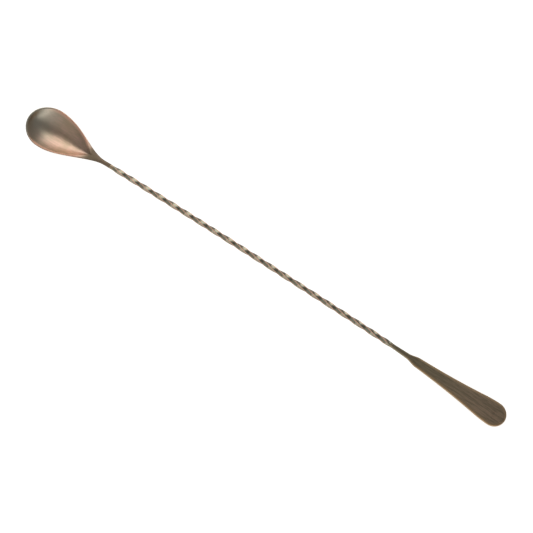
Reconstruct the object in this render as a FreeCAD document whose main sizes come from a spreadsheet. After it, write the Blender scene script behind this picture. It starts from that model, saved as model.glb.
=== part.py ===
"""A twisted bar spoon: teardrop bowl, twisted square shaft and flat paddle, joined by two small welds.

It lies mouth up on a flat surface, on the underside of its bowl and the lower edge of its paddle.
X runs from the bowl to the paddle, Y across and Z up.  The origin is on the surface, halfway along.
Stations, called x in the functions, are counted in millimetres from the tip of the bowl.
"""

import FreeCAD, Part
import Sketcher
import math
import os

from FreeCAD import Placement, Rotation, Vector

DIMENSIONS = {
    # whole spoon
    "overall_length": 335.0,
    # bowl, seen from above
    "bowl_width": 27.7,
    "bowl_front_length": 14.1,      # from the tip to the widest station
    "flank_front_reach": 16.4,      # handles of the curve that runs from the widest station into the neck
    "flank_neck_reach": 12.8,
    "flank_end": 57.0,
    "neck_end": 61.0,
    "neck_diameter": 2.7,
    # bowl, seen from the side
    "rim_height": 7.3,
    "tip_rise_start": 24.1,         # in front of this station the rim sweeps up to the tip
    "tip_rise_radius": 68.8,
    "deepest_station": 19.0,
    "keel_front_reach": 15.0,       # handles of the keel's curve from the deepest station to the neck
    "keel_neck_reach": 13.0,
    "neck_crown_start": 44.0,       # behind this station the top of the neck is arched
    "keel_roundness": 1.0,          # of the bowl's widest section: towards 0 its walls meet in a V
    "point_roundness": 0.35,        # and at the point of the hollow
    # hollow of the bowl
    "rim_width": 1.1,
    "floor_thickness": 1.8,
    "hollow_end": 46.0,             # where the hollow runs out in a point
    "hollow_front_reach": 15.5,
    "hollow_point_reach": 8.0,
    "hollow_point_slope": 0.72,
    # twisted shaft
    "bar_side": 2.5,
    "turn_length": 40.0,
    "shaft_end_turn": -8.0,        # degrees, from lying face up, where the bar meets the paddle's weld
    "shaft_bend_radius": 2524.0,
    "shaft_end_slope": -2.75,       # degrees, where the shaft meets the paddle
    # welds
    "bowl_weld_length": 2.5,
    "paddle_weld_length": 1.5,
    # paddle
    "paddle_start": 261.1,
    "paddle_slope": -4.6,           # degrees
    "blade_thickness": 1.6,
    "blade_end_radius": 7.1,
    "blade_corner_radius": 66.0,    # where the sides round off into the end
    "blade_side_end": 58.0,         # from the root of the tang to where the corners start
    "blade_side_radius": 440.0,     # the long sides are slightly hollow
    "blade_edge_radius": 0.35,
    "tang_half_width": 1.2,         # at its root, where it is about as thick as wide
    "tang_thickness": 2.4,
    "tang_length": 10.0,
    "tang_end_half_width": 1.5,
    "shoulder_distance": 17.0,      # from the root of the tang to the outer end of the shoulders
    "shoulder_half_width": 2.9,
    "shoulder_radius": 12.0,
}

FRONT_ANGLES = (8, 16, 26, 38, 52, 66, 78, 90)   # stations of the bowl's rounded front, degrees
FLANK_STEPS = 10                                 # stations from the widest place to the neck
SECTION_STEPS = 12                               # points along each side of a section
HOLLOW_CLOSING_STEP = 0.2                        # of a flank step, from the last section to the point
TWIST_STEPS_PER_TURN = 24
HALVINGS = 40                                    # to find a station on a curve
TOOL_CLEARANCE = 3.0                             # how far a cutting tool stands out of what it cuts
SIDE_END_GUESS = 0.9                             # of the paddle's half width, until its outline is solved
TOLERANCE = 1e-6

PADDLE_LENGTH = "(Sizes.overall_length - Sizes.paddle_start) / cos(Sizes.paddle_slope * 1deg)"
PLANING_WIDTH = "4 * Sizes.blade_end_radius"     # twice the blade's own


# ---------------------------------------------------------------- document and sheet

doc = FreeCAD.newDocument("bar_spoon")
sheet = doc.addObject("Spreadsheet::Sheet", "Sizes")


def fill_sheet():
    """Write every driving dimension in the sheet, its name beside it."""
    for row, (name, value) in enumerate(DIMENSIONS.items(), start=1):
        sheet.set(f"A{row}", name)
        sheet.set(f"B{row}", str(value))
        sheet.setAlias(f"B{row}", name)
    doc.recompute()


def size(name):
    """A driving dimension, read back from the sheet."""
    return float(sheet.get(name))


fill_sheet()


# ---------------------------------------------------------------- curves that the sub-parts share

def smooth(share):
    """A soft step from 0 to 1, held at its ends."""
    share = min(1.0, max(0.0, share))
    return share * share * (3 - 2 * share)


def between(first, last, share):
    """A value part of the way from the first to the last."""
    return first + (last - first) * share


def bezier(points, step):
    """The point of a cubic curve with four (x, height) control points, step going from 0 to 1."""
    back = 1.0 - step
    weights = (back ** 3, 3 * back * back * step, 3 * back * step * step, step ** 3)
    return tuple(sum(w * p[axis] for w, p in zip(weights, points)) for axis in (0, 1))


def bezier_at(points, x):
    """The height of such a curve at one station, found by halving."""
    low, high = 0.0, 1.0
    for _ in range(HALVINGS):
        middle = (low + high) / 2
        if bezier(points, middle)[0] < x:
            low = middle
        else:
            high = middle
    return bezier(points, low)[1]


def quarter_ellipse(x, start, end):
    """A quarter of an ellipse that ends at 1, and whose start is cut off square at the first station."""
    reach = (end - start) / math.cos(math.radians(FRONT_ANGLES[0]))
    return math.sqrt(max(0.0, 1 - ((end - x) / reach) ** 2))


def front_stations(start, end):
    """Stations along such a quarter, which crowd together towards its start."""
    reach = (end - start) / math.cos(math.radians(FRONT_ANGLES[0]))
    return [end - reach * math.cos(math.radians(angle)) for angle in FRONT_ANGLES]


class Frame:
    """A place along the spoon's centre line: its middle, the direction across and the direction up."""

    def __init__(self, x, z, slope):
        self.middle = Vector(x, 0, z)
        self.across = Vector(0, 1, 0)
        self.up = Vector(-math.sin(slope), 0, math.cos(slope))

    def point(self, sideways, upward):
        return self.middle + self.across * sideways + self.up * upward


def blade_height(x):
    """The middle of the paddle's thickness, which comes down to the surface at the paddle's tip."""
    slope = math.radians(size("paddle_slope"))
    return size("blade_thickness") / 2 - (size("overall_length") - x) * math.tan(slope)


def shaft_frame(distance_from_paddle):
    """The shaft's centre line is one shallow arch, followed from the paddle's weld to the bowl's."""
    x = size("paddle_start") - size("paddle_weld_length")
    radius = size("shaft_bend_radius")
    end_slope = math.radians(size("shaft_end_slope"))
    slope = end_slope + distance_from_paddle / radius
    centre_x = x + radius * math.sin(end_slope)
    centre_z = blade_height(x) - radius * math.cos(end_slope)
    return Frame(centre_x - radius * math.sin(slope), centre_z + radius * math.cos(slope), slope)


def shaft_length():
    """From weld to weld along the arch, whose slope is too shallow to matter between two stations."""
    start = size("neck_end") + size("bowl_weld_length")
    return size("paddle_start") - size("paddle_weld_length") - start


def neck_end_frame():
    """Where the neck of the bowl stops, in line with the start of the shaft."""
    start = shaft_frame(shaft_length())
    along = start.across.cross(start.up) * size("bowl_weld_length")
    middle = start.middle - along
    return Frame(middle.x, middle.z, math.atan2(-start.up.x, start.up.z))


def bar_corners(distance_from_paddle):
    """The four corners of the twisted square bar."""
    frame = shaft_frame(distance_from_paddle)
    reach = size("bar_side") / math.sqrt(2)
    turned = math.radians(size("shaft_end_turn")) - math.tau * distance_from_paddle / size("turn_length")
    first = turned + math.radians(45)
    angles = [first + math.radians(90) * corner for corner in range(4)]
    return [frame.point(reach * math.cos(a), reach * math.sin(a)) for a in angles]


def in_place(label, shape):
    """A sub-part whose shape was made in stations: its placement puts the origin halfway along."""
    piece = doc.addObject("Part::Feature", label)
    piece.Label = label
    piece.Shape = shape
    piece.Placement = Placement(Vector(-size("overall_length") / 2, 0, 0), Rotation())
    return piece


# ---------------------------------------------------------------- bowl

def rim_at(x):
    """Height of the rim: level along the flanks, swept up towards the tip."""
    run = max(0.0, size("tip_rise_start") - x)
    return size("rim_height") + run * run / (2 * size("tip_rise_radius"))


def flank_curve():
    """Control points of the bowl's outline behind its widest station."""
    front = size("bowl_front_length")
    widest = size("bowl_width") / 2
    end = size("flank_end")
    neck = size("neck_diameter") / 2
    return ((front, widest), (front + size("flank_front_reach"), widest),
            (end - size("flank_neck_reach"), neck), (end, neck))


def hollow_flank_curve():
    """Control points of the hollow's outline behind its widest station, down to its point."""
    front = size("bowl_front_length")
    widest = size("bowl_width") / 2 - size("rim_width")
    end = size("hollow_end")
    reach = size("hollow_point_reach")
    return ((front, widest), (front + size("hollow_front_reach"), widest),
            (end - reach, reach * size("hollow_point_slope")), (end, 0.0))


def keel_at(x):
    """Height of the underside along the middle: a quarter ellipse in front, then up to the neck."""
    deepest = size("deepest_station")
    if x < deepest:
        return rim_at(0.0) * (1 - quarter_ellipse(x, 0.0, deepest))
    neck = neck_end_frame()
    slope = -neck.up.x / neck.up.z
    reach = size("keel_neck_reach")
    end = neck.middle - neck.up * (size("neck_diameter") / 2)
    curve = ((deepest, 0.0), (deepest + size("keel_front_reach"), 0.0),
             (end.x - reach, end.z - reach * slope), (end.x, end.z))
    return bezier_at(curve, x)


def hollow_keel_at(x):
    """Height of the hollow's floor along the middle."""
    deepest = size("deepest_station")
    floor = size("floor_thickness")
    if x < deepest:
        start = size("rim_width")
        return rim_at(start) - (rim_at(start) - floor) * quarter_ellipse(x, start, deepest)
    share = (x - deepest) / (size("hollow_end") - deepest)
    return floor + (size("rim_height") - floor) * share ** 2


def neckness(x):
    """0 in the bowl, 1 where the neck is round."""
    start = size("neck_crown_start")
    return smooth((x - start) / (size("neck_end") - start))


def arch(share):
    """Half an ellipse: 1 in its middle, 0 at its edges, where share is 1 or -1."""
    return math.sqrt(max(0.0, 1 - share * share))


def trough(x, share):
    """Even walls that meet in a rounded keel: 1 on the keel, 0 at the edges."""
    front = size("bowl_front_length")
    run = smooth((x - front) / (size("hollow_end") - front))
    keel = between(size("keel_roundness"), size("point_roundness"), run)
    wall = math.hypot(1, keel)
    return (wall - math.hypot(share, keel)) / (wall - keel)


def belly(x, share):
    """The outside of the bowl, a trough that turns into the round underside of the neck."""
    return between(trough(x, share), arch(share), neckness(x))


def half_section(frame, half_width, height, shape):
    """Half of a cross-section, from +Y over the top, or under the bottom if height is negative."""
    points = []
    for step in range(SECTION_STEPS + 1):
        share = math.cos(math.pi * step / SECTION_STEPS)
        points.append(frame.point(half_width * share, height * shape(share)))
    curve = Part.BSplineCurve()
    curve.interpolate(Points=points)
    return curve.toShape()


def blank_section(x, half_width):
    """A closed section of the solid that the bowl is hollowed out of: flat top or crown, full belly."""
    frame = Frame(x, rim_at(x), 0.0)
    depth = rim_at(x) - keel_at(x)
    underside = half_section(frame, half_width, -depth, lambda share: belly(x, share))
    crown = size("neck_diameter") / 2 * neckness(x)
    if crown > 0:
        top = half_section(frame, half_width, crown, arch)
    else:
        top = Part.LineSegment(frame.point(half_width, 0), frame.point(-half_width, 0)).toShape()
    return Part.Wire([top, underside])


def round_wire(frame, radius, first_angle, parts):
    """A circle across the centre line, made of equal arcs that start at a given angle."""
    arcs = []
    for part in range(parts):
        angles = [first_angle + math.tau * (part + share) / parts for share in (0, 0.5, 1)]
        ends = [frame.point(radius * math.cos(a), radius * math.sin(a)) for a in angles]
        arcs.append(Part.Arc(*ends).toShape())
    return Part.Wire(arcs)


def bowl_blank():
    """The bowl and neck as a solid, lofted through sections from the tip to the end of the neck."""
    front = size("bowl_front_length")
    widest = size("bowl_width") / 2
    sections = []
    for x in front_stations(0.0, front):
        sections.append(blank_section(x, widest * quarter_ellipse(x, 0.0, front)))
    for step in range(1, FLANK_STEPS + 1):
        sections.append(blank_section(*bezier(flank_curve(), step / FLANK_STEPS)))
    sections.append(round_wire(neck_end_frame(), size("neck_diameter") / 2, 0.0, 2))
    return Part.makeLoft(sections, True)


def hollow_section(x, half_width):
    """A closed section of the tool that cuts the hollow: its belly, and sides that clear the rim."""
    frame = Frame(x, rim_at(x), 0.0)
    depth = rim_at(x) - hollow_keel_at(x)
    floor = half_section(frame, half_width, -depth, lambda share: trough(x, share))
    corners = [frame.point(-half_width, 0), frame.point(-half_width, TOOL_CLEARANCE),
               frame.point(half_width, TOOL_CLEARANCE), frame.point(half_width, 0)]
    sides = [Part.LineSegment(a, b).toShape() for a, b in zip(corners, corners[1:])]
    return Part.Wire([floor] + sides)


def hollow_tool():
    """The space inside the bowl, from behind its tip to the point in front of the neck."""
    front = size("bowl_front_length")
    rim = size("rim_width")
    widest = size("bowl_width") / 2 - rim
    sections = []
    for x in front_stations(rim, front):
        sections.append(hollow_section(x, widest * quarter_ellipse(x, rim, front)))
    for step in range(1, FLANK_STEPS):
        sections.append(hollow_section(*bezier(hollow_flank_curve(), step / FLANK_STEPS)))
    last = bezier(hollow_flank_curve(), 1 - HOLLOW_CLOSING_STEP / FLANK_STEPS)
    sections.append(hollow_section(*last))
    return Part.makeLoft(sections, True)


def make_bowl():
    """The pressed teardrop bowl with its solid neck.  Most of the blank goes with the hollow."""
    blank = bowl_blank()
    bowl = blank.cut(hollow_tool())
    if bowl.Volume > blank.Volume / 2:
        raise RuntimeError("the hollow was not cut out of the bowl")
    return in_place("bowl", bowl)


# ---------------------------------------------------------------- twisted shaft

def make_shaft():
    """A square bar twisted into a right-handed screw along its arch: four ruled faces and two ends."""
    length = shaft_length()
    steps = round(length / size("turn_length") * TWIST_STEPS_PER_TURN)
    rings = [bar_corners(length * step / steps) for step in range(steps + 1)]
    arrises = []
    for corner in range(4):
        curve = Part.BSplineCurve()
        curve.interpolate(Points=[ring[corner] for ring in rings])
        arrises.append(curve.toShape())
    faces = [Part.makeRuledSurface(arrises[k], arrises[(k + 1) % 4]) for k in range(4)]
    ends = [Part.Face(Part.makePolygon(ring + ring[:1])) for ring in (rings[0], rings[-1])]
    bar = Part.Solid(Part.makeShell(faces + ends))
    if bar.Volume < 0:
        bar.reverse()
    return in_place("twisted_shaft", bar)


# ---------------------------------------------------------------- welds

def square_wire(corners):
    """A closed wire of four straight edges."""
    return Part.makePolygon(corners + corners[:1])


def make_bowl_weld():
    """Weld metal from the round end of the neck to the first section of the twisted bar."""
    corners = bar_corners(shaft_length())
    frame = neck_end_frame()
    reach = corners[0] - shaft_frame(shaft_length()).middle
    first_angle = math.atan2(reach.dot(frame.up), reach.dot(frame.across))
    neck = round_wire(frame, size("neck_diameter") / 2, first_angle, 4)
    return in_place("bowl_weld", Part.makeLoft([neck, square_wire(corners)], True, True))


def make_paddle_weld():
    """Weld metal from the last section of the bar to the root of the paddle's tang."""
    slope = math.radians(size("paddle_slope"))
    root = Frame(size("paddle_start"), blade_height(size("paddle_start")), slope)
    half_width = size("tang_half_width")
    half_height = size("tang_thickness") / 2
    signs = ((1, 1), (-1, 1), (-1, -1), (1, -1))
    tang = [root.point(y * half_width, z * half_height) for y, z in signs]
    ends = [square_wire(bar_corners(0)), square_wire(tang)]
    return in_place("paddle_weld", Part.makeLoft(ends, True, True))


# ---------------------------------------------------------------- paddle

def plane_of(body, role):
    """One of a body's own origin planes."""
    return next(item for item in body.Origin.OriginFeatures if item.Role == role)


def new_sketch(body, name, role):
    """An empty sketch of a body, on one of its origin planes."""
    sketch = body.newObject("Sketcher::SketchObject", name)
    sketch.AttachmentSupport = (plane_of(body, role), [""])
    sketch.MapMode = "FlatFace"
    return sketch


def bind(sketch, name, formula, value, kind, *elements):
    """Add one dimension to a sketch, name it and tie it to the sheet."""
    sketch.addConstraint(Sketcher.Constraint(kind, *elements, value))
    sketch.renameConstraint(sketch.ConstraintCount - 1, name)
    sketch.setExpression(f"Constraints.{name}", formula)


def end_near(sketch, edge, point):
    """Which end of a sketch's edge, 1 or 2, lies nearer to a point."""
    distances = [(sketch.getPoint(edge, end) - point).Length for end in (1, 2)]
    return 1 if distances[0] <= distances[1] else 2


def arc_between(first, last, radius):
    """An arc from one point to another, which turns left if the radius is positive."""
    chord = last - first
    left = Vector(-chord.y, chord.x, 0).normalize()
    depth = abs(radius) - math.sqrt(radius * radius - chord.Length ** 2 / 4)
    middle = (first + last) * 0.5
    return Part.Arc(first, middle - left * math.copysign(depth, radius), last)


def paddle_length():
    """From the root of the tang to the tip, along the sloping blade."""
    level = size("overall_length") - size("paddle_start")
    return level / math.cos(math.radians(size("paddle_slope")))


def draw_outline(body):
    """Half of the paddle seen from above: tang, S-shaped shoulder, hollow side and rounded end."""
    length = paddle_length()
    end_radius = size("blade_end_radius")
    shoulder_radius = size("shoulder_radius")
    root_corner = Vector(0, size("tang_half_width"), 0)
    tang_end = Vector(size("tang_length"), size("tang_end_half_width"), 0)
    shoulder = Vector(size("shoulder_distance"), size("shoulder_half_width"), 0)
    inflection = (tang_end + shoulder) * 0.5
    side_end = Vector(size("blade_side_end"), SIDE_END_GUESS * end_radius, 0)
    round_end = Vector(length - end_radius, end_radius, 0)
    tip = Vector(length, 0, 0)
    corners = [Vector(), root_corner, tang_end, inflection, shoulder, side_end, round_end, tip]
    radii = [None, None, shoulder_radius, -shoulder_radius, size("blade_side_radius"),
             -size("blade_corner_radius"), -end_radius, None]

    sketch = new_sketch(body, "PaddleOutline", "XY_Plane")
    for first, last, radius in zip(corners, corners[1:] + corners[:1], radii):
        line = Part.LineSegment(first, last) if radius is None else arc_between(first, last, radius)
        sketch.addGeometry(line, False)
    root, tang, hollow, crown, side, corner_arc, end, middle = range(8)
    starts_smoothly = (hollow, crown, corner_arc, end)
    ends = {}
    for edge, (first, last) in enumerate(zip(corners, corners[1:] + corners[:1])):
        ends[edge] = (end_near(sketch, edge, first), end_near(sketch, edge, last))
    for edge in range(len(corners)):
        before = (edge - 1) % len(corners)
        kind = "Tangent" if edge in starts_smoothly else "Coincident"
        sketch.addConstraint(Sketcher.Constraint(kind, before, ends[before][1], edge, ends[edge][0]))
    sketch.addConstraint(Sketcher.Constraint("Coincident", root, 1, -1, 1))
    sketch.addConstraint(Sketcher.Constraint("Vertical", root))
    sketch.addConstraint(Sketcher.Constraint("Horizontal", middle))
    sketch.addConstraint(Sketcher.Constraint("PointOnObject", end, 3, -1))
    bind(sketch, "root", "Sizes.tang_half_width", root_corner.y, "DistanceY", root, 1, root, 2)
    bind(sketch, "tang_x", "Sizes.tang_length", tang_end.x, "DistanceX", -1, 1, tang, 2)
    bind(sketch, "tang_y", "Sizes.tang_end_half_width", tang_end.y, "DistanceY", -1, 1, tang, 2)
    bind(sketch, "hollow_r", "Sizes.shoulder_radius", shoulder_radius, "Radius", hollow)
    bind(sketch, "crown_r", "Sizes.shoulder_radius", shoulder_radius, "Radius", crown)
    outer = ends[side][0]
    bind(sketch, "shoulder_x", "Sizes.shoulder_distance", shoulder.x, "DistanceX", -1, 1, side, outer)
    bind(sketch, "shoulder_y", "Sizes.shoulder_half_width", shoulder.y, "DistanceY", -1, 1, side, outer)
    bind(sketch, "side_r", "Sizes.blade_side_radius", size("blade_side_radius"), "Radius", side)
    bind(sketch, "side_x", "Sizes.blade_side_end", side_end.x, "DistanceX", -1, 1, side, ends[side][1])
    bind(sketch, "corner_r", "Sizes.blade_corner_radius", size("blade_corner_radius"), "Radius", corner_arc)
    bind(sketch, "end_r", "Sizes.blade_end_radius", end_radius, "Radius", end)
    bind(sketch, "length", PADDLE_LENGTH, length, "DistanceX", middle, 2, middle, 1)
    return sketch


def draw_taper(body):
    """What is planed off the top of the paddle: a slope along the tang, then level over the blade."""
    root_height = size("tang_thickness") / 2
    blade_top = size("blade_thickness") / 2
    taper_end = size("shoulder_distance")
    far = paddle_length() + TOOL_CLEARANCE
    high = root_height + TOOL_CLEARANCE
    corners = [Vector(0, root_height, 0), Vector(taper_end, blade_top, 0),
               Vector(far, blade_top, 0), Vector(far, high, 0), Vector(0, high, 0)]
    sketch = new_sketch(body, "PaddleTaper", "XZ_Plane")
    for first, last in zip(corners, corners[1:] + corners[:1]):
        sketch.addGeometry(Part.LineSegment(first, last), False)
    for edge in range(len(corners)):
        sketch.addConstraint(Sketcher.Constraint("Coincident", edge, 2, (edge + 1) % len(corners), 1))
    slope, level, end, top, back = range(5)
    sketch.addConstraint(Sketcher.Constraint("Horizontal", level))
    sketch.addConstraint(Sketcher.Constraint("Vertical", end))
    sketch.addConstraint(Sketcher.Constraint("Horizontal", top))
    sketch.addConstraint(Sketcher.Constraint("PointOnObject", slope, 1, -2))
    sketch.addConstraint(Sketcher.Constraint("PointOnObject", top, 2, -2))
    bind(sketch, "root_z", "Sizes.tang_thickness / 2", root_height, "DistanceY", -1, 1, slope, 1)
    bind(sketch, "blade_z", "Sizes.blade_thickness / 2", blade_top, "DistanceY", -1, 1, slope, 2)
    bind(sketch, "taper_x", "Sizes.shoulder_distance", taper_end, "DistanceX", -1, 1, slope, 2)
    bind(sketch, "far_x", f"{PADDLE_LENGTH} + {TOOL_CLEARANCE}", far, "DistanceX", -1, 1, level, 2)
    bind(sketch, "high_z", f"Sizes.tang_thickness / 2 + {TOOL_CLEARANCE}", high, "DistanceY", -1, 1, end, 2)
    return sketch


def mirror(body, feature, role):
    """A mirror image of one feature in one of the body's origin planes."""
    mirrored = body.newObject("PartDesign::Mirrored", feature.Name + "Mirrored")
    mirrored.Originals = [feature]
    mirrored.MirrorPlane = (plane_of(body, role), [""])
    body.Tip = mirrored
    doc.recompute()
    return mirrored


def rim_edges(shape):
    """Names of the edges that run round the paddle's two broad faces, away from the root."""
    names = []
    for number, edge in enumerate(shape.Edges, start=1):
        box = edge.BoundBox
        upright = box.ZLength > box.XLength + box.YLength
        on_middle = abs(box.ZMin + box.ZMax) < TOLERANCE and box.ZLength < TOLERANCE
        at_root = box.XMax < TOLERANCE
        across = box.XLength < TOLERANCE
        if not (upright or on_middle or at_root or across):
            names.append(f"Edge{number}")
    return names


def make_paddle():
    """The flat blade with its tapered tang, padded from half its outline and planed to thickness."""
    body = doc.addObject("PartDesign::Body", "paddle")
    body.Label = "paddle"
    pad = body.newObject("PartDesign::Pad", "Blank")
    pad.Profile = draw_outline(body)
    pad.SideType = "Symmetric"
    pad.setExpression("Length", "Sizes.tang_thickness")
    doc.recompute()
    mirror(body, pad, "XZ_Plane")
    plane_top = body.newObject("PartDesign::Pocket", "Planing")
    plane_top.Profile = draw_taper(body)
    plane_top.SideType = "Symmetric"
    plane_top.setExpression("Length", PLANING_WIDTH)
    doc.recompute()
    tapered = mirror(body, plane_top, "XY_Plane")
    eased = body.newObject("PartDesign::Fillet", "EasedEdges")
    eased.Base = (tapered, rim_edges(tapered.Shape))
    eased.setExpression("Radius", "Sizes.blade_edge_radius")
    body.Tip = eased
    doc.recompute()
    root = Vector(size("paddle_start") - size("overall_length") / 2, 0, blade_height(size("paddle_start")))
    body.Placement = Placement(root, Rotation(Vector(0, 1, 0), -size("paddle_slope")))
    return body


# ---------------------------------------------------------------- the whole spoon

def check(pieces):
    """Stop if any object of the document failed, or any piece is not one valid solid."""
    for item in doc.Objects:
        if "Invalid" in item.State or "Error" in item.State:
            raise RuntimeError(f"{item.Name} failed: {item.State}")
    for piece in pieces:
        shape = piece.Shape
        if shape.isNull() or not shape.isValid() or len(shape.Solids) != 1:
            raise RuntimeError(f"{piece.Label} is not one valid solid")


pieces = [make_bowl(), make_bowl_weld(), make_shaft(), make_paddle_weld(), make_paddle()]
doc.recompute()
check(pieces)
os.makedirs("parts", exist_ok=True)
for piece in pieces:
    box = piece.Shape.BoundBox
    piece.Shape.exportStep(f"parts/{piece.Label}.step")
    print(f"{piece.Label}: {piece.Shape.Volume:.1f} mm3, {box.XMin:.2f} to {box.XMax:.2f} along the spoon, "
          f"{box.YLength:.2f} wide, {box.ZMin:.2f} to {box.ZMax:.2f} high")
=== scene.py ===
"""Looks of the twisted bar spoon: skins of antique copper over the CAD pieces, floor, light and camera.

The spoon lies along X, bowl first, mouth up.  Lengths are metres in the row frame, and a station is a
distance behind the tip of the bowl.
"""

import math

import bmesh
import bpy
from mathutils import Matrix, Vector


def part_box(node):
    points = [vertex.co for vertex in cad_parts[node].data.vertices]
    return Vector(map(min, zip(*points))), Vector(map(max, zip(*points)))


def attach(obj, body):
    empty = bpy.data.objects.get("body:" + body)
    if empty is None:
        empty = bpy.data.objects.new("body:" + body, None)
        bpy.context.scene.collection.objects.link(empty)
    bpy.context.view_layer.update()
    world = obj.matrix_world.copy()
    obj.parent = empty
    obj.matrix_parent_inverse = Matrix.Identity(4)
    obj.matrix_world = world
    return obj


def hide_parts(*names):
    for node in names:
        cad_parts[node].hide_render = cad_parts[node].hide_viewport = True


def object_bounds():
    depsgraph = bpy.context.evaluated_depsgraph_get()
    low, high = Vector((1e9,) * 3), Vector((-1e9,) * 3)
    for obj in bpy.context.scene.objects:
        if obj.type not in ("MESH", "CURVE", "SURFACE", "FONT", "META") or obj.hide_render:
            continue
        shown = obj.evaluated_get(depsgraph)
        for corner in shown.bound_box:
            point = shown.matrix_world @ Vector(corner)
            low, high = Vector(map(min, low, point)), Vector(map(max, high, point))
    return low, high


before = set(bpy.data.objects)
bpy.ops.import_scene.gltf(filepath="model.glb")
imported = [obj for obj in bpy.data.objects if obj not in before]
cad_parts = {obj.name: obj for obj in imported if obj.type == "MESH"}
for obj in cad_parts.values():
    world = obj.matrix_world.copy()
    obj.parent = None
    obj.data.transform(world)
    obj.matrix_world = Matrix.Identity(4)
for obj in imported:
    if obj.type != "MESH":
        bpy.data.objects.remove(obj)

MM = 0.001
CAD_LOW, CAD_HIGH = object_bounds()
BOWL_LOW, BOWL_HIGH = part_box("bowl")

# The spoon's sizes.  What the frame doesn't say is repeated from the CAD source.
TIP = BOWL_LOW.x
LENGTH = CAD_HIGH.x - CAD_LOW.x

HALF_BOWL = BOWL_HIGH.y
BOWL_FRONT = 14.1 * MM              # from the tip to the widest station
FLANK_FRONT_REACH = 16.4 * MM
FLANK_NECK_REACH = 12.8 * MM
FLANK_END = 57.0 * MM
NECK_END = 61.0 * MM
NECK_RADIUS = 1.35 * MM
RIM_HEIGHT = 7.3 * MM
TIP_RISE_START = 24.1 * MM          # in front of this station the rim sweeps up to the tip
TIP_RISE_RADIUS = 68.8 * MM
DEEPEST = 19.0 * MM
KEEL_FRONT_REACH = 15.0 * MM
KEEL_NECK_REACH = 13.0 * MM
CROWN_START = 44.0 * MM             # behind this station the neck grows round
KEEL_ROUNDNESS = 1.0                # of a section in the bowl's front: towards 0 its walls meet in a V
POINT_ROUNDNESS = 0.35              # and at the point of the hollow

RIM_WIDTH = 1.1 * MM
RIM_CROWN = 0.22 * MM                # how far the rounded rim stands above its two edges
RIM_ROUNDING = 0.55 * MM
FLOOR_THICKNESS = 1.8 * MM
HOLLOW_END = 46.0 * MM
HOLLOW_FRONT_REACH = 15.5 * MM
HOLLOW_POINT_REACH = 8.0 * MM
HOLLOW_POINT_SLOPE = 0.72

BAR_SIDE = 2.5 * MM
TURN_LENGTH = 40.0 * MM
SHAFT_END_TURN = math.radians(-8)   # from lying face up, where the bar meets the paddle's weld
BEND_RADIUS = 2524.0 * MM
SHAFT_END_SLOPE = math.radians(-2.75)
BOWL_WELD = 2.5 * MM
PADDLE_WELD = 1.5 * MM
ARRIS_RADIUS = 0.15 * MM
SOFT_ARRIS = 0.75 * MM              # the bar's arrises at its two welds
SOFT_LENGTH = 4.0 * MM              # and how soon they sharpen

PADDLE_START = 261.1 * MM
PADDLE_SLOPE = math.radians(-4.6)
BLADE_THICKNESS = 1.6 * MM
BLADE_END_RADIUS = 7.1 * MM
BLADE_CORNER_RADIUS = 66.0 * MM
BLADE_SIDE_END = 58.0 * MM
BLADE_SIDE_RADIUS = 440.0 * MM
BLADE_EDGE = 0.35 * MM
TANG_ROOT = 1.2 * MM
TANG_THICKNESS = 2.4 * MM
TANG_LENGTH = 10.0 * MM
TANG_END = 1.5 * MM
TANG_ROUNDING = 0.95 * MM
SHOULDER = 17.0 * MM
SHOULDER_WIDTH = 2.9 * MM

# Where the copper is rubbed bright.
WEAR_START = 4.0 * MM               # the rim's rubbed line grows from here
WEAR_END = 38.0 * MM                # and fades from here
WEAR_FADE = 10.0 * MM
WALL_WEAR = 1.5 * MM                # how far it runs down into the hollow
WIDEST_LINE = 1.2 * RIM_WIDTH       # where the rim is wider than this it starts to fade
LINE_FADE = 2 * RIM_WIDTH
ARRIS_WEAR = 0.60 * MM              # how far the bar's rubbed band runs onto each face
FACE_WEAR = 0.6                     # where the paddle's broad faces start, falling to 0 within EDGE_WEAR
EDGE_WEAR = 1.6 * MM

# How finely the skins are divided.
FRONT_RIBS = 40                     # round the front of the bowl, on each side
FLANK_RIBS = 44
NECK_RIBS = 24
RIB_STEPS = 22                      # from the rim down to the keel
CORNER_STEPS = 5                    # round each small rounding
FACE_STEPS = 6                      # across each face of the bar
RINGS_PER_TURN = 56
WELD_RINGS = 12
BLADE_RIBS = 96                     # along each side of the paddle, in front of its round end
FACE_SHARES = (0.4, 0.7, 1.0)       # where a broad face is divided, from its edge to its middle line
FAN_SHARE = 0.7                     # spread of the middle ends of fanned ribs, of the outline's own spread
POINT_CROWDING = 1.3                # how much stations crowd towards the hollow's point, in front of it
NECK_CROWDING = 1.6                 # and behind it
HALVINGS = 40
SMALL_STEP = 0.01 * MM              # over which a slope is measured
MERGE_DISTANCE = 0.001 * MM
SHARP_ANGLE = math.radians(50)


# ---------------------------------------------------------------- curves

def smooth(share):
    """0 before 0, 1 after 1 and an even rise between."""
    share = min(1.0, max(0.0, share))
    return share * share * (3 - 2 * share)


def between(start, end, share):
    return start + (end - start) * share


def bezier(points, step):
    """The point of a cubic curve with four control points, step going from 0 to 1."""
    back = 1.0 - step
    weights = (back ** 3, 3 * back * back * step, 3 * back * step * step, step ** 3)
    return tuple(sum(w * p[axis] for w, p in zip(weights, points)) for axis in (0, 1))


def bezier_at(points, x):
    """The second value of such a curve where its first is x, found by halving."""
    low, high = 0.0, 1.0
    for _ in range(HALVINGS):
        middle = (low + high) / 2
        if bezier(points, middle)[0] < x:
            low = middle
        else:
            high = middle
    return bezier(points, low)[1]


def quarter_ellipse(x, start, end):
    """A quarter of an ellipse that starts at 0 and ends at 1."""
    return math.sqrt(max(0.0, 1 - ((end - x) / (end - start)) ** 2))


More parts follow.
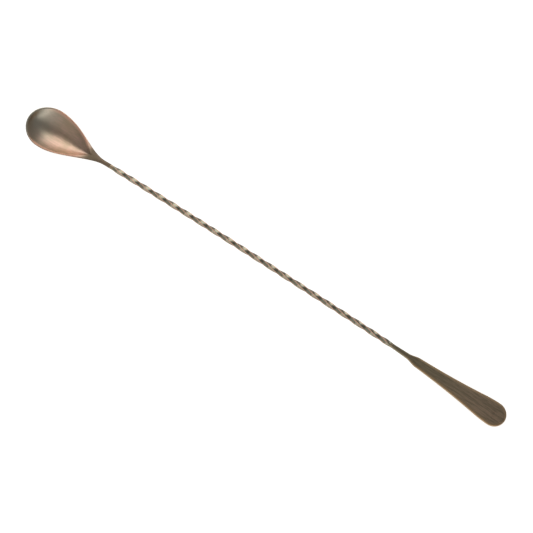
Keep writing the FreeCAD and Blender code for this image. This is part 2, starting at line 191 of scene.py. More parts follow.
def rounding(distance, radius):
    """Height of a rounded edge, from 0 at the edge itself to 1 at its radius."""
    share = min(1.0, max(0.0, distance / radius))
    return math.sqrt(1 - (1 - share) ** 2)


def cosine_steps(count):
    """From 0 to 1, crowding together towards 0."""
    return [1 - math.cos(math.radians(90) * step / count) for step in range(count + 1)]


# ---------------------------------------------------------------- the centre line

def blade_height(x):
    """The middle of the paddle's thickness at a station."""
    return BLADE_THICKNESS / 2 - (LENGTH - x) * math.tan(PADDLE_SLOPE)


class Place:
    """A place on the centre line: its middle, and the directions across and up."""

    def __init__(self, x, z, slope):
        self.middle = Vector((TIP + x, 0, z))
        self.slope = slope
        self.across = Vector((0, 1, 0))
        self.up = Vector((-math.sin(slope), 0, math.cos(slope)))
        self.along = Vector((math.cos(slope), 0, math.sin(slope)))

    def point(self, sideways, upward):
        return self.middle + self.across * sideways + self.up * upward

    def moved(self, distance):
        """A place further along, in line with this one."""
        middle = self.middle + self.along * distance
        return Place(middle.x - TIP, middle.z, self.slope)


def shaft_place(distance):
    """A place on the shaft's shallow arch, at a distance in front of the paddle's weld."""
    x = PADDLE_START - PADDLE_WELD
    slope = SHAFT_END_SLOPE + distance / BEND_RADIUS
    centre_x = x + BEND_RADIUS * math.sin(SHAFT_END_SLOPE)
    centre_z = blade_height(x) - BEND_RADIUS * math.cos(SHAFT_END_SLOPE)
    return Place(centre_x - BEND_RADIUS * math.sin(slope), centre_z + BEND_RADIUS * math.cos(slope), slope)


SHAFT_LENGTH = PADDLE_START - PADDLE_WELD - NECK_END - BOWL_WELD
NECK_PLACE = shaft_place(SHAFT_LENGTH).moved(-BOWL_WELD)
PADDLE_PLACE = Place(PADDLE_START, blade_height(PADDLE_START), PADDLE_SLOPE)


# ---------------------------------------------------------------- skins

class Skin:
    """Grids of points, joined where they meet into one closed mesh, with the wear of every point."""

    def __init__(self):
        self.mesh = bmesh.new()
        self.wear = self.mesh.verts.layers.float.new("wear")

    def add(self, rows, closed=False):
        """Add a grid of rows of (point, wear).  A closed row ends where it starts."""
        made = []
        for row in rows:
            made.append([])
            for point, wear in row:
                vertex = self.mesh.verts.new(point)
                vertex[self.wear] = wear
                made[-1].append(vertex)
        for first, second in zip(made, made[1:]):
            columns = len(first) if closed else len(first) - 1
            for column in range(columns):
                after = (column + 1) % len(first)
                self.mesh.faces.new((first[column], first[after], second[after], second[column]))

    def mirrored(self, rows):
        """Add a grid and its mirror image on the other side of the spoon."""
        self.add(rows)
        self.add([[(Vector((p.x, -p.y, p.z)), wear) for p, wear in row] for row in rows])

    def finish(self, name, node, slot, material):
        """Join the grids, close what is open and make the piece that stands for a CAD node."""
        bmesh.ops.remove_doubles(self.mesh, verts=self.mesh.verts, dist=MERGE_DISTANCE)
        bmesh.ops.dissolve_degenerate(self.mesh, edges=self.mesh.edges, dist=MERGE_DISTANCE)
        bmesh.ops.holes_fill(self.mesh, edges=self.mesh.edges, sides=0)
        bmesh.ops.recalc_face_normals(self.mesh, faces=self.mesh.faces)
        mesh = bpy.data.meshes.new(name)
        self.mesh.to_mesh(mesh)
        self.mesh.free()
        mesh.shade_smooth()
        mesh.set_sharp_from_angle(angle=SHARP_ANGLE)
        mesh.materials.append(material)
        piece = bpy.data.objects.new(name, mesh)
        bpy.context.scene.collection.objects.link(piece)
        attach(piece, "root")
        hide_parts(node)
        return piece


# ---------------------------------------------------------------- bowl

FLANK = ((BOWL_FRONT, HALF_BOWL), (BOWL_FRONT + FLANK_FRONT_REACH, HALF_BOWL),
         (FLANK_END - FLANK_NECK_REACH, NECK_RADIUS), (FLANK_END, NECK_RADIUS))

HOLLOW_FLANK = ((BOWL_FRONT, HALF_BOWL - RIM_WIDTH), (BOWL_FRONT + HOLLOW_FRONT_REACH, HALF_BOWL - RIM_WIDTH),
                (HOLLOW_END - HOLLOW_POINT_REACH, HOLLOW_POINT_REACH * HOLLOW_POINT_SLOPE), (HOLLOW_END, 0.0))


def neckness(x):
    """0 in the bowl, 1 where the neck is round."""
    return smooth((x - CROWN_START) / (NECK_END - CROWN_START))


def edge_at(x):
    """Height of the edges on both sides of the rim's small crown, and of the neck's widest line."""
    run = max(0.0, TIP_RISE_START - x)
    rim = RIM_HEIGHT + run * run / (2 * TIP_RISE_RADIUS) - RIM_CROWN
    return between(rim, NECK_PLACE.middle.z, neckness(x))


def keel_at(x):
    """Height of the underside along the middle."""
    if x < DEEPEST:
        return edge_at(0.0) * (1 - quarter_ellipse(x, 0.0, DEEPEST))
    end = NECK_PLACE.point(0, -NECK_RADIUS)
    slope = math.tan(NECK_PLACE.slope)
    curve = ((DEEPEST, 0.0), (DEEPEST + KEEL_FRONT_REACH, 0.0),
             (NECK_END - KEEL_NECK_REACH, end.z - KEEL_NECK_REACH * slope), (NECK_END, end.z))
    return bezier_at(curve, x)


def hollow_keel_at(x):
    """Height of the hollow's floor along the middle."""
    if x < DEEPEST:
        top = edge_at(RIM_WIDTH)
        return top - (top - FLOOR_THICKNESS) * quarter_ellipse(x, RIM_WIDTH, DEEPEST)
    share = (x - DEEPEST) / (HOLLOW_END - DEEPEST)
    return FLOOR_THICKNESS + (edge_at(HOLLOW_END) - FLOOR_THICKNESS) * share ** 2


def half_width(x):
    """Half of the bowl's or the neck's width at a station."""
    if x < BOWL_FRONT:
        return HALF_BOWL * quarter_ellipse(x, 0.0, BOWL_FRONT)
    if x < FLANK_END:
        return bezier_at(FLANK, x)
    return NECK_RADIUS


def hollow_half_width(x):
    """Half of the hollow's width at a station."""
    if x < BOWL_FRONT:
        return (HALF_BOWL - RIM_WIDTH) * quarter_ellipse(x, RIM_WIDTH, BOWL_FRONT)
    return bezier_at(HOLLOW_FLANK, x)


def arch(y, width):
    """Half an ellipse, from 0 at its edge to 1 in its middle."""
    share = min(1.0, abs(y) / width) if width > 0 else 1.0
    return math.sqrt(1 - share * share)


def trough(x, y, width):
    """A section of the bowl, from 0 at its edge to 1 on its keel: even walls that meet in a rounded keel."""
    share = min(1.0, abs(y) / width) if width > 0 else 1.0
    keel = between(KEEL_ROUNDNESS, POINT_ROUNDNESS, smooth((x - BOWL_FRONT) / (HOLLOW_END - BOWL_FRONT)))
    wall = math.hypot(1, keel)
    return (wall - math.hypot(share, keel)) / (wall - keel)


def belly_point(x, y):
    """A point of the outside of the bowl and the underside of the neck."""
    width = half_width(x)
    depth = (edge_at(x) - keel_at(x)) * between(trough(x, y, width), arch(y, width), neckness(x))
    return Vector((TIP + x, y, edge_at(x) - depth))


def hollow_point(x, y):
    """A point of the inside of the bowl."""
    depth = (edge_at(x) - hollow_keel_at(x)) * trough(x, y, hollow_half_width(x))
    return Vector((TIP + x, y, edge_at(x) - depth))


def front_rib(angle, start, half):
    """Where a rib that fans out round the front meets the outline, and where it meets the middle."""
    reach = BOWL_FRONT - start
    middle_reach = FAN_SHARE * reach
    outline = (BOWL_FRONT - reach * math.cos(angle), half * math.sin(angle))
    return outline, (BOWL_FRONT - middle_reach * math.cos(angle), 0.0)


def front_angles():
    return [math.radians(90) * step / FRONT_RIBS for step in range(FRONT_RIBS)]


def flank_stations():
    """From the widest station to the point of the hollow, closer together towards the point."""
    length = HOLLOW_END - BOWL_FRONT
    return [HOLLOW_END - length * (1 - step / FLANK_RIBS) ** POINT_CROWDING for step in range(FLANK_RIBS + 1)]


def neck_stations():
    """From the point of the hollow to the end of the neck, closer together towards the point."""
    length = NECK_END - HOLLOW_END
    return [HOLLOW_END + length * (step / NECK_RIBS) ** NECK_CROWDING for step in range(1, NECK_RIBS + 1)]


def outer_ribs():
    ribs = [front_rib(angle, 0.0, HALF_BOWL) for angle in front_angles()]
    return ribs + [((x, half_width(x)), (x, 0.0)) for x in flank_stations() + neck_stations()]


def hollow_ribs():
    ribs = [front_rib(angle, RIM_WIDTH, HALF_BOWL - RIM_WIDTH) for angle in front_angles()]
    return ribs + [((x, hollow_half_width(x)), (x, 0.0)) for x in flank_stations()]


def rim_wear(x):
    """How rubbed the rim is: less at the tip, and not at all on the neck."""
    return smooth((x - WEAR_START) / WEAR_FADE) * (1 - smooth((x - WEAR_END) / WEAR_FADE))


def rib_row(outline, middle, surface, worn):
    """Points from the outline down to the middle, close together where the wall is steep."""
    row = []
    length = math.dist(outline, middle)
    for share in cosine_steps(RIB_STEPS):
        x = between(outline[0], middle[0], share)
        y = between(outline[1], middle[1], share)
        wear = worn * rim_wear(x) * (1 - smooth(share * length / WALL_WEAR))
        row.append((surface(x, y), wear))
    return row


def rim_row(outer, inner):
    """Points across the rim, or across half of the neck, whose two edges are rounded."""
    width = math.dist(outer, inner)
    near = [RIM_ROUNDING * step for step in cosine_steps(CORNER_STEPS)]
    near = [min(distance, width / 2) for distance in near]
    distances = near + [width - distance for distance in reversed(near)]
    row = []
    for distance in distances:
        share = distance / width
        x = between(outer[0], inner[0], share)
        y = between(outer[1], inner[1], share)
        from_hollow = width - distance
        if x > HOLLOW_END:
            from_hollow = math.hypot(x - HOLLOW_END, y)
        profile = rounding(distance, RIM_ROUNDING) * rounding(from_hollow, RIM_ROUNDING)
        crown = between(RIM_CROWN * profile, NECK_RADIUS * arch(y, half_width(x)), neckness(x))
        narrow = 1 - smooth((width - WIDEST_LINE) / LINE_FADE)
        wear = smooth(distance / RIM_ROUNDING) * narrow * rim_wear(x)
        row.append((Vector((TIP + x, y, edge_at(x) + crown)), wear))
    return row


def build_bowl(material):
    """The pressed bowl with its rounded rim, and the neck that it draws out into."""
    skin = Skin()
    outer = outer_ribs()
    hollow = hollow_ribs()
    skin.mirrored([rib_row(outline, middle, belly_point, 0.0) for outline, middle in outer])
    skin.mirrored([rib_row(outline, middle, hollow_point, 1.0) for outline, middle in hollow])
    inner_edge = [outline for outline, middle in hollow] + [(x, 0.0) for x in neck_stations()]
    skin.mirrored([rim_row(rib[0], inner) for rib, inner in zip(outer, inner_edge)])
    return skin.finish("copper_bowl", "bowl", "bowl_copper", material)


# ---------------------------------------------------------------- twisted shaft and welds

def bar_ring(place, half_across, half_up, corner, turn, worn):
    """A rounded rectangle across the centre line, turned by an angle, as a row of (point, wear)."""
    corner = min(corner, half_across, half_up)
    ring = []
    for quarter in range(4):
        swapped = quarter % 2 == 1
        half_a, half_b = (half_up, half_across) if swapped else (half_across, half_up)
        local = []
        for step in range(CORNER_STEPS + 1):
            angle = math.radians(90) * step / CORNER_STEPS
            a = half_a - corner + corner * math.cos(angle)
            b = half_b - corner + corner * math.sin(angle)
            local.append((a, b, worn))
        flat = 2 * (half_a - corner)
        band = min(ARRIS_WEAR, flat / 3)
        for step in range(FACE_STEPS + 1):
            gone = between(band, flat - band, step / FACE_STEPS)
            local.append((half_a - corner - gone, half_b, 0.0))
        for a, b, wear in local:
            angle = turn + math.radians(90) * quarter
            sideways = a * math.cos(angle) - b * math.sin(angle)
            upward = a * math.sin(angle) + b * math.cos(angle)
            ring.append((place.point(sideways, upward), wear))
    return ring


def twist(distance):
    """The bar's turn at a distance in front of the paddle's weld."""
    return SHAFT_END_TURN - math.tau * distance / TURN_LENGTH


def shaft_corner(distance):
    """The arrises are soft at both welds and sharpen within a few millimetres."""
    from_end = min(distance, SHAFT_LENGTH - distance)
    return between(SOFT_ARRIS, ARRIS_RADIUS, smooth(from_end / SOFT_LENGTH))


def build_shaft(material):
    """The square bar, twisted into a right-handed screw."""
    skin = Skin()
    steps = round(SHAFT_LENGTH / TURN_LENGTH * RINGS_PER_TURN)
    rings = []
    for step in range(steps + 1):
        distance = SHAFT_LENGTH * step / steps
        worn = smooth(min(distance, SHAFT_LENGTH - distance) / SOFT_LENGTH)
        rings.append(bar_ring(shaft_place(distance), BAR_SIDE / 2, BAR_SIDE / 2,
                              shaft_corner(distance), twist(distance), worn))
    skin.add(rings, closed=True)
    return skin.finish("twisted_bar", "twisted_shaft", "shaft_copper", material)


def build_bowl_weld(material):
    """Weld metal that runs from the round neck into the square bar."""
    skin = Skin()
    rings = []
    for step in range(WELD_RINGS + 1):
        share = step / WELD_RINGS
        size = between(NECK_RADIUS, BAR_SIDE / 2, smooth(share))
        corner = between(NECK_RADIUS, SOFT_ARRIS, smooth(share))
        rings.append(bar_ring(NECK_PLACE.moved(BOWL_WELD * share), size, size, corner,
                              twist(SHAFT_LENGTH), 0.0))
    skin.add(rings, closed=True)
    return skin.finish("bowl_weld_bead", "bowl_weld", "weld_copper", material)


def build_paddle_weld(material):
    """Weld metal that runs from the square bar into the paddle's tang."""
    skin = Skin()
    start = shaft_place(0.0)
    rings = []
    for step in range(WELD_RINGS + 1):
        share = step / WELD_RINGS
        middle = start.middle.lerp(PADDLE_PLACE.middle, share)
        place = Place(middle.x - TIP, middle.z, between(start.slope, PADDLE_PLACE.slope, share))
        rings.append(bar_ring(place, between(BAR_SIDE / 2, TANG_ROOT, smooth(share)),
                              between(BAR_SIDE / 2, TANG_THICKNESS / 2, smooth(share)),
                              between(SOFT_ARRIS, TANG_ROUNDING, smooth(share)),
                              between(SHAFT_END_TURN, 0.0, smooth(share)), 0.0))
    skin.add(rings, closed=True)
    return skin.finish("paddle_weld_bead", "paddle_weld", "weld_copper", material)


# ---------------------------------------------------------------- paddle

PADDLE_LENGTH = (LENGTH - PADDLE_START) / math.cos(PADDLE_SLOPE)
END_CENTRE = PADDLE_LENGTH - BLADE_END_RADIUS
SIDE_RUN = BLADE_SIDE_END - SHOULDER
SIDE_END_WIDTH = BLADE_END_RADIUS - (END_CENTRE - BLADE_SIDE_END) ** 2 / (2 * BLADE_CORNER_RADIUS)
SHOULDER_SLOPE = (SIDE_END_WIDTH - SHOULDER_WIDTH - SIDE_RUN ** 2 / (2 * BLADE_SIDE_RADIUS)) / SIDE_RUN


def blade_half_width(u):
    """Half of the paddle's width at a distance u from the root of its tang, in front of its round end."""
    if u < TANG_LENGTH:
        return between(TANG_ROOT, TANG_END, u / TANG_LENGTH)
    if u < SHOULDER:
        share = (u - TANG_LENGTH) / (SHOULDER - TANG_LENGTH)
        straight = between(TANG_END, SHOULDER_WIDTH, smooth(share))
        return straight - SHOULDER_SLOPE * (SHOULDER - TANG_LENGTH) * share * share * (1 - share)
    if u < BLADE_SIDE_END:
        run = u - SHOULDER
        return SHOULDER_WIDTH + SHOULDER_SLOPE * run + run * run / (2 * BLADE_SIDE_RADIUS)
    return BLADE_END_RADIUS - (END_CENTRE - u) ** 2 / (2 * BLADE_CORNER_RADIUS)


def blade_half_thickness(u):
    """Half of the paddle's thickness, which tapers along the tang."""
    return between(TANG_THICKNESS, BLADE_THICKNESS, min(1.0, u / SHOULDER)) / 2


def blade_ribs():
    """Pairs of a point on the outline with its outward direction, and a point on the middle line."""
    ribs = []
    for step in range(BLADE_RIBS):
        u = END_CENTRE * step / BLADE_RIBS
        rise = (blade_half_width(u + SMALL_STEP) - blade_half_width(u)) / SMALL_STEP
        length = math.hypot(1.0, rise)
        ribs.append(((u, blade_half_width(u)), (-rise / length, 1 / length), u))
    for step in range(FRONT_RIBS + 1):
        angle = math.radians(90) * (1 - step / FRONT_RIBS)
        outward = (math.cos(angle), math.sin(angle))
        outline = (END_CENTRE + BLADE_END_RADIUS * outward[0], BLADE_END_RADIUS * outward[1])
        ribs.append((outline, outward, END_CENTRE + FAN_SHARE * BLADE_END_RADIUS * outward[0]))
    return ribs


def blade_row(rib, side):
    """Points from the middle of the edge, round its easing and over one broad face to the middle line."""
    (u, width), outward, middle = rib
    if middle > END_CENTRE:
        middle = min(middle, u - 2 * BLADE_EDGE)
    half = blade_half_thickness(u)
    easing = between(TANG_ROUNDING, BLADE_EDGE, smooth(u / SHOULDER))
    easing = min(easing, half)
    row = [(u, width, 0.0, 0.0)]
    for step in range(CORNER_STEPS + 1):
        angle = math.radians(90) * step / CORNER_STEPS
        inward = easing * (1 - math.cos(angle))
        rise = half - easing + easing * math.sin(angle)
        wear = between(1.0, FACE_WEAR, step / CORNER_STEPS)
        row.append((u - outward[0] * inward, width - outward[1] * inward, rise, wear))
    inner_u, inner_width = row[-1][0], row[-1][1]
    for share in (EDGE_WEAR / max(inner_width, 2 * EDGE_WEAR), *FACE_SHARES):
        row.append((between(inner_u, middle, share), between(inner_width, 0.0, share), half, 0.0))
    worn = smooth((u - TANG_LENGTH / 2) / SHOULDER)
    points = []
    for along, sideways, upward, wear in row:
        point = PADDLE_PLACE.moved(along).point(sideways, side * upward)
        points.append((point, wear * worn))
    return points


def build_paddle(material):
    """The flat blade with its tang, whose edges are eased."""
    skin = Skin()
    for side in (1, -1):
        skin.mirrored([blade_row(rib, side) for rib in blade_ribs()])
    return skin.finish("copper_paddle", "paddle", "paddle_copper", material)


# ---------------------------------------------------------------- materials

COLOUR_A, COLOUR_B, COLOUR_RESULT = 6, 7, 2     # a Mix node's sockets for colours, whose names repeat


class NodeSet:
    """Short ways to add nodes to a material or a world."""

    def __init__(self, owner):
        owner.use_nodes = True
        self.nodes = owner.node_tree.nodes
        self.links = owner.node_tree.links

    def put(self, socket, value):
        """Join a socket to another node's output, or set it to a plain value."""
        if isinstance(value, bpy.types.NodeSocket):
            self.links.new(value, socket)
        else:
            socket.default_value = value

    def math(self, operation, first, second):
        node = self.nodes.new("ShaderNodeMath")
        node.operation = operation
        self.put(node.inputs[0], first)
        self.put(node.inputs[1], second)
        return node.outputs["Value"]


class Finish(NodeSet):
    """A metal material."""

    def __init__(self, name):
        self.material = bpy.data.materials.new(name)
        super().__init__(self.material)
        self.shader = self.nodes["Principled BSDF"]
        self.shader.inputs["Metallic"].default_value = 1.0
        self.place = self.nodes.new("ShaderNodeTexCoord").outputs["Object"]

    def noise(self, per_metre, detail=3.0, roughness=0.5, offset=0.0):
        """Noise from 0 to 1 whose three scales are given per metre along X, Y and Z."""
        mapping = self.nodes.new("ShaderNodeMapping")
        self.links.new(self.place, mapping.inputs["Vector"])
        mapping.inputs["Scale"].default_value = per_metre
        mapping.inputs["Location"].default_value = (offset, offset, offset)
        texture = self.nodes.new("ShaderNodeTexNoise")
        texture.inputs["Scale"].default_value = 1.0
        texture.inputs["Detail"].default_value = detail
        texture.inputs["Roughness"].default_value = roughness
        self.links.new(mapping.outputs["Vector"], texture.inputs["Vector"])
        return texture.outputs["Fac"]

    def wear(self):
        attribute = self.nodes.new("ShaderNodeAttribute")
        attribute.attribute_name = "wear"
        return attribute.outputs["Fac"]

    def rubbed_roughness(self, roughness):
        """Roughness of a surface whose rubbed places are the roughest."""
        return self.math("MAXIMUM", roughness, self.math("MULTIPLY", self.wear(), RUBBED_ROUGHNESS))

    def axis(self, name):
        split = self.nodes.new("ShaderNodeSeparateXYZ")
        self.links.new(self.place, split.inputs["Vector"])
        return split.outputs[name]

    def fit(self, value, low, high, to_low=0.0, to_high=1.0):
        """A value's range from low to high, mapped evenly and held at its ends."""
        node = self.nodes.new("ShaderNodeMapRange")
        node.interpolation_type = "SMOOTHSTEP"
        self.put(node.inputs["Value"], value)
        for name, number in (("From Min", low), ("From Max", high), ("To Min", to_low), ("To Max", to_high)):
            node.inputs[name].default_value = number
        return node.outputs["Result"]

    def mix(self, share, first, second):
        node = self.nodes.new("ShaderNodeMix")
        node.data_type = "RGBA"
        self.put(node.inputs["Factor"], share)
        self.put(node.inputs[COLOUR_A], first)
        self.put(node.inputs[COLOUR_B], second)
        return node.outputs[COLOUR_RESULT]

    def bump(self, height, distance):
        node = self.nodes.new("ShaderNodeBump")
        node.inputs["Distance"].default_value = distance
        node.inputs["Strength"].default_value = 1.0
        self.links.new(height, node.inputs["Height"])
        return node.outputs["Normal"]

    def output(self, colour, roughness, normal):
        self.put(self.shader.inputs["Base Color"], colour)
        self.put(self.shader.inputs["Roughness"], roughness)
        self.put(self.shader.inputs["Normal"], normal)
        return self.material


BRIGHT_COPPER = (0.98, 0.64, 0.48, 1)
WARM_COPPER = (0.78, 0.52, 0.41, 1)
BROWN_COPPER = (0.60, 0.43, 0.30, 1)
OLIVE_PATINA = (0.47, 0.395, 0.255, 1)
# painted reflection: the grey that the bowl is painted towards its tip
PAINTED_TIP_REFLECTION = (0.62, 0.60, 0.49, 1)
DARK_PATINA = (0.22, 0.18, 0.12, 1)
FACET_GREY = (0.38, 0.385, 0.30, 1)
FACET_OLIVE = (0.34, 0.32, 0.225, 1)
GOLDEN_COPPER = (0.85, 0.56, 0.30, 1)

RUBBED_ROUGHNESS = 0.7
NECK_ROUGHNESS = 0.64
NECK_PATINA = 46 * MM               # from here on the neck is darkest
TIP_REFLECTION_REACH = 22 * MM                # how far from its tip the bowl is painted greyer, a painted reflection


def bowl_finish():
    """Satin copper, warm inside, with faint lengthwise brushing, cloudy patina, a rubbed rim and a painted
    grey reflection towards the tip.
    """
    finish = Finish("antique_copper_bowl")
    clouds = finish.noise((90, 130, 130), detail=4, offset=3.1)
    streaks = finish.noise((40, 1300, 1300), detail=4, roughness=0.65, offset=7.7)
    colour = finish.mix(finish.fit(clouds, 0.35, 0.68), WARM_COPPER, BROWN_COPPER)
    colour = finish.mix(finish.fit(streaks, 0.35, 0.75, 0.0, 0.55), colour, OLIVE_PATINA)
    # painted reflection: the bowl grows greyer towards its tip
    colour = finish.mix(finish.fit(finish.axis("X"), TIP + TIP_REFLECTION_REACH, TIP, 0.0, 0.85), colour, PAINTED_TIP_REFLECTION)
    rubbed = finish.math("MULTIPLY", finish.wear(), finish.fit(clouds, 0.2, 0.6, 0.75, 1.0))
    colour = finish.mix(rubbed, colour, BRIGHT_COPPER)
    into_neck = finish.fit(finish.axis("X"), TIP + WEAR_END, TIP + NECK_PATINA)
    colour = finish.mix(finish.math("MULTIPLY", into_neck, 0.76), colour, DARK_PATINA)
    roughness = finish.rubbed_roughness(finish.fit(streaks, 0.2, 0.8, 0.30, 0.44))
    roughness = finish.math("MAXIMUM", roughness, finish.math("MULTIPLY", into_neck, NECK_ROUGHNESS))
    return finish.output(colour, roughness, finish.bump(streaks, 0.012 * MM))


def shaft_finish():
    """Darkened facets and arrises rubbed back to bright copper."""
    finish = Finish("antique_copper_shaft")
    clouds = finish.noise((260, 900, 900), detail=4, offset=1.3)
    scuffs = finish.noise((500, 5200, 5200), detail=3, roughness=0.6, offset=4.9)
    colour = finish.mix(finish.fit(clouds, 0.3, 0.7), FACET_GREY, FACET_OLIVE)
    rubbed = finish.math("MULTIPLY", finish.wear(), finish.fit(scuffs, 0.15, 0.6, 0.7, 1.0))
    colour = finish.mix(rubbed, colour, BRIGHT_COPPER)
    roughness = finish.rubbed_roughness(finish.fit(scuffs, 0.2, 0.8, 0.18, 0.30))
    return finish.output(colour, roughness, finish.bump(scuffs, 0.006 * MM))


def weld_finish():
    """Ground and plated weld metal: browner, with finer marks across the spoon."""
    finish = Finish("antique_copper_weld")
    clouds = finish.noise((300, 700, 700), detail=4, offset=6.2)
    marks = finish.noise((4200, 500, 500), detail=3, roughness=0.6, offset=2.4)
    colour = finish.mix(finish.fit(clouds, 0.3, 0.7), BROWN_COPPER, OLIVE_PATINA)
    colour = finish.mix(finish.fit(marks, 0.4, 0.8, 0.0, 0.3), colour, DARK_PATINA)
    roughness = finish.fit(marks, 0.2, 0.8, 0.26, 0.42)
    return finish.output(colour, roughness, finish.bump(marks, 0.008 * MM))


def paddle_finish():
    """Dark patina brushed lengthwise, browner towards the round end, with a thin rubbed edge."""
    finish = Finish("antique_copper_paddle")
    start = TIP + PADDLE_START
    clouds = finish.noise((45, 160, 160), detail=4, offset=5.5)
    streaks = finish.noise((14, 1100, 1100), detail=5, roughness=0.7, offset=9.1)
    towards_end = finish.fit(finish.axis("X"), start, start + PADDLE_LENGTH)
    colour = finish.mix(towards_end, OLIVE_PATINA, BROWN_COPPER)
    colour = finish.mix(finish.fit(clouds, 0.35, 0.7, 0.0, 0.35), colour, DARK_PATINA)
    colour = finish.mix(finish.fit(streaks, 0.40, 0.60, 0.0, 0.7), colour, DARK_PATINA)
    colour = finish.mix(finish.math("MULTIPLY", finish.wear(), 0.85), colour, GOLDEN_COPPER)
    roughness = finish.fit(streaks, 0.25, 0.75, 0.30, 0.46)
    return finish.output(colour, roughness, finish.bump(streaks, 0.02 * MM))


# ---------------------------------------------------------------- studio

FLOOR_SIZE = 6.0
FLOOR_COLOUR = (0.88, 0.88, 0.87, 1)
FLOOR_GLOW = 0.8                    # as the camera sees the floor
NEAR_GLOW = 0.5                     # and as the copper sees it, in front of the spoon
FAR_GLOW = 0.02                     # and behind it
FADE_REACH = 30 * MM
BACKDROP_COLOUR = (0.93, 0.93, 0.92, 1)

# Soft boxes, far away, in degrees: azimuth from +X towards +Y, elevation, half angles across and up.
# Then the strength of each.
SOFT_BOXES = (
    (130, 36, 26, 24, 1.45),
    (-42, 20, 28, 14, 0.65),
    (-88, 38, 50, 30, 0.28),
)
SIDE_SOFTNESS = 0.15                # of a soft box's sides, as a tangent
TOP_SOFTNESS = 0.10                 # and of its top and bottom
LEAST_AHEAD = 0.001                 # keeps directions behind a soft box from dividing by 0
FILL = 0.18


def make_floor():
    """A plain pale floor at the height that the spoon rests on."""
    mesh = bpy.data.meshes.new("floor")
    half = FLOOR_SIZE / 2
    corners = [(x * half, y * half, CAD_LOW.z) for x, y in ((-1, -1), (1, -1), (1, 1), (-1, 1))]
    mesh.from_pydata(corners, [], [(0, 1, 2, 3)])
    material = bpy.data.materials.new("pale_floor")
    tree = NodeSet(material)
    shader = tree.nodes["Principled BSDF"]
    shader.inputs["Base Color"].default_value = FLOOR_COLOUR
    shader.inputs["Roughness"].default_value = 0.9
    shader.inputs["Specular IOR Level"].default_value = 0.0
    shader.inputs["Emission Color"].default_value = (1, 1, 1, 1)
    seen = tree.nodes.new("ShaderNodeLightPath").outputs["Is Camera Ray"]
    split = tree.nodes.new("ShaderNodeSeparateXYZ")
    tree.put(split.inputs["Vector"], tree.nodes.new("ShaderNodeTexCoord").outputs["Object"])
    fade = tree.nodes.new("ShaderNodeMapRange")
    tree.put(fade.inputs["Value"], split.outputs["Y"])
    fade.inputs["From Min"].default_value = -FADE_REACH
    fade.inputs["From Max"].default_value = FADE_REACH
    fade.inputs["To Min"].default_value = NEAR_GLOW
    fade.inputs["To Max"].default_value = FAR_GLOW
    glow = tree.nodes.new("ShaderNodeMix")
    tree.put(glow.inputs["Factor"], seen)
    tree.put(glow.inputs["A"], fade.outputs["Result"])
    glow.inputs["B"].default_value = FLOOR_GLOW
    tree.put(shader.inputs["Emission Strength"], glow.outputs["Result"])
    mesh.materials.append(material)
    floor = bpy.data.objects.new("floor", mesh)
    bpy.context.scene.collection.objects.link(floor)


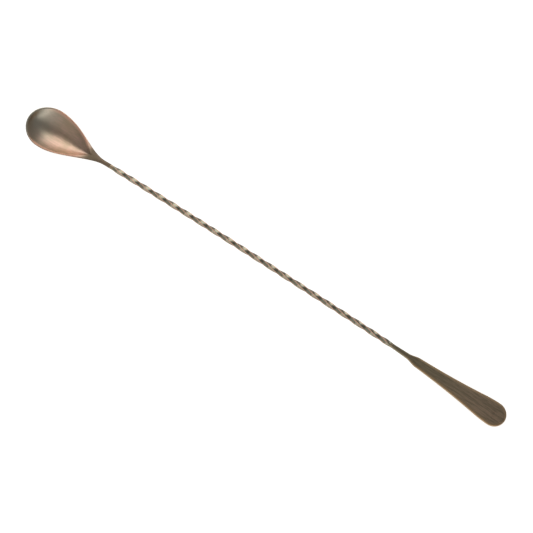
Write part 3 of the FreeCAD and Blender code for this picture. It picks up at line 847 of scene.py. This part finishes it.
class Sky(NodeSet):
    """The world's nodes: an even fill and soft boxes that only reflections and shadows see."""

    def __init__(self):
        world = bpy.data.worlds.new("studio")
        super().__init__(world)
        bpy.context.scene.world = world
        self.direction = self.nodes.new("ShaderNodeTexCoord").outputs["Generated"]

    def along(self, axis):
        """How far a direction points along an axis."""
        node = self.nodes.new("ShaderNodeVectorMath")
        node.operation = "DOT_PRODUCT"
        self.put(node.inputs[0], self.direction)
        node.inputs[1].default_value = axis
        return node.outputs["Value"]

    def within(self, value, limit, softness):
        """1 while a value's size is below the limit, falling softly to 0 beyond it."""
        node = self.nodes.new("ShaderNodeMapRange")
        node.interpolation_type = "SMOOTHSTEP"
        self.put(node.inputs["Value"], self.math("ABSOLUTE", value, 0.0))
        node.inputs["From Min"].default_value = limit - softness
        node.inputs["From Max"].default_value = limit + softness
        node.inputs["To Min"].default_value = 1.0
        node.inputs["To Max"].default_value = 0.0
        return node.outputs["Result"]

    def soft_box(self, azimuth, elevation, half_across, half_up, strength):
        """Light from an even rectangle with soft edges, as seen from the spoon."""
        a, e = math.radians(azimuth), math.radians(elevation)
        centre = Vector((math.cos(a) * math.cos(e), math.sin(a) * math.cos(e), math.sin(e)))
        across = Vector((-math.sin(a), math.cos(a), 0))
        up = centre.cross(across)
        ahead = self.math("MAXIMUM", self.along(centre), LEAST_AHEAD)
        sideways = self.math("DIVIDE", self.along(across), ahead)
        upward = self.math("DIVIDE", self.along(up), ahead)
        inside_sides = self.within(sideways, math.tan(math.radians(half_across)), SIDE_SOFTNESS)
        inside_top = self.within(upward, math.tan(math.radians(half_up)), TOP_SOFTNESS)
        return self.math("MULTIPLY", self.math("MULTIPLY", inside_sides, inside_top), strength)

    def finish(self):
        """Add up the light, and show a plain backdrop to the camera."""
        light = FILL
        for box in SOFT_BOXES:
            light = self.math("ADD", self.soft_box(*box), light)
        strength = self.nodes.new("ShaderNodeMix")
        self.put(strength.inputs["Factor"], self.nodes.new("ShaderNodeLightPath").outputs["Is Camera Ray"])
        self.put(strength.inputs["A"], light)
        strength.inputs["B"].default_value = 1.0
        background = self.nodes["Background"]
        background.inputs["Color"].default_value = BACKDROP_COLOUR
        self.put(background.inputs["Strength"], strength.outputs["Result"])


CAMERA_AZIMUTH = 34.88              # degrees, from -Y towards +X
CAMERA_ELEVATION = 65.0
CAMERA_DISTANCE = 746.5 * MM
CAMERA_TARGET = Vector((7.202, 0.189, 6.0)) * MM
CAMERA_LENS = 87.14                 # millimetres
CAMERA_SENSOR = 36.0


def make_camera():
    """A camera above and to the right of the spoon, looking down at it."""
    azimuth, elevation = math.radians(CAMERA_AZIMUTH), math.radians(CAMERA_ELEVATION)
    back = Vector((math.sin(azimuth) * math.cos(elevation), -math.cos(azimuth) * math.cos(elevation),
                   math.sin(elevation)))
    data = bpy.data.cameras.new("camera")
    data.lens = CAMERA_LENS
    data.sensor_width = CAMERA_SENSOR
    data.clip_end = 20.0
    camera = bpy.data.objects.new("camera", data)
    camera.location = CAMERA_TARGET + back * CAMERA_DISTANCE
    camera.rotation_mode = "QUATERNION"
    camera.rotation_quaternion = (-back).to_track_quat("-Z", "Y")
    bpy.context.scene.collection.objects.link(camera)
    bpy.context.scene.camera = camera


# ---------------------------------------------------------------- the whole scene

weld = weld_finish()
build_bowl(bowl_finish())
build_bowl_weld(weld)
build_shaft(shaft_finish())
build_paddle_weld(weld)
build_paddle(paddle_finish())
make_floor()
Sky().finish()
make_camera()
bpy.context.scene.view_settings.view_transform = "Standard"
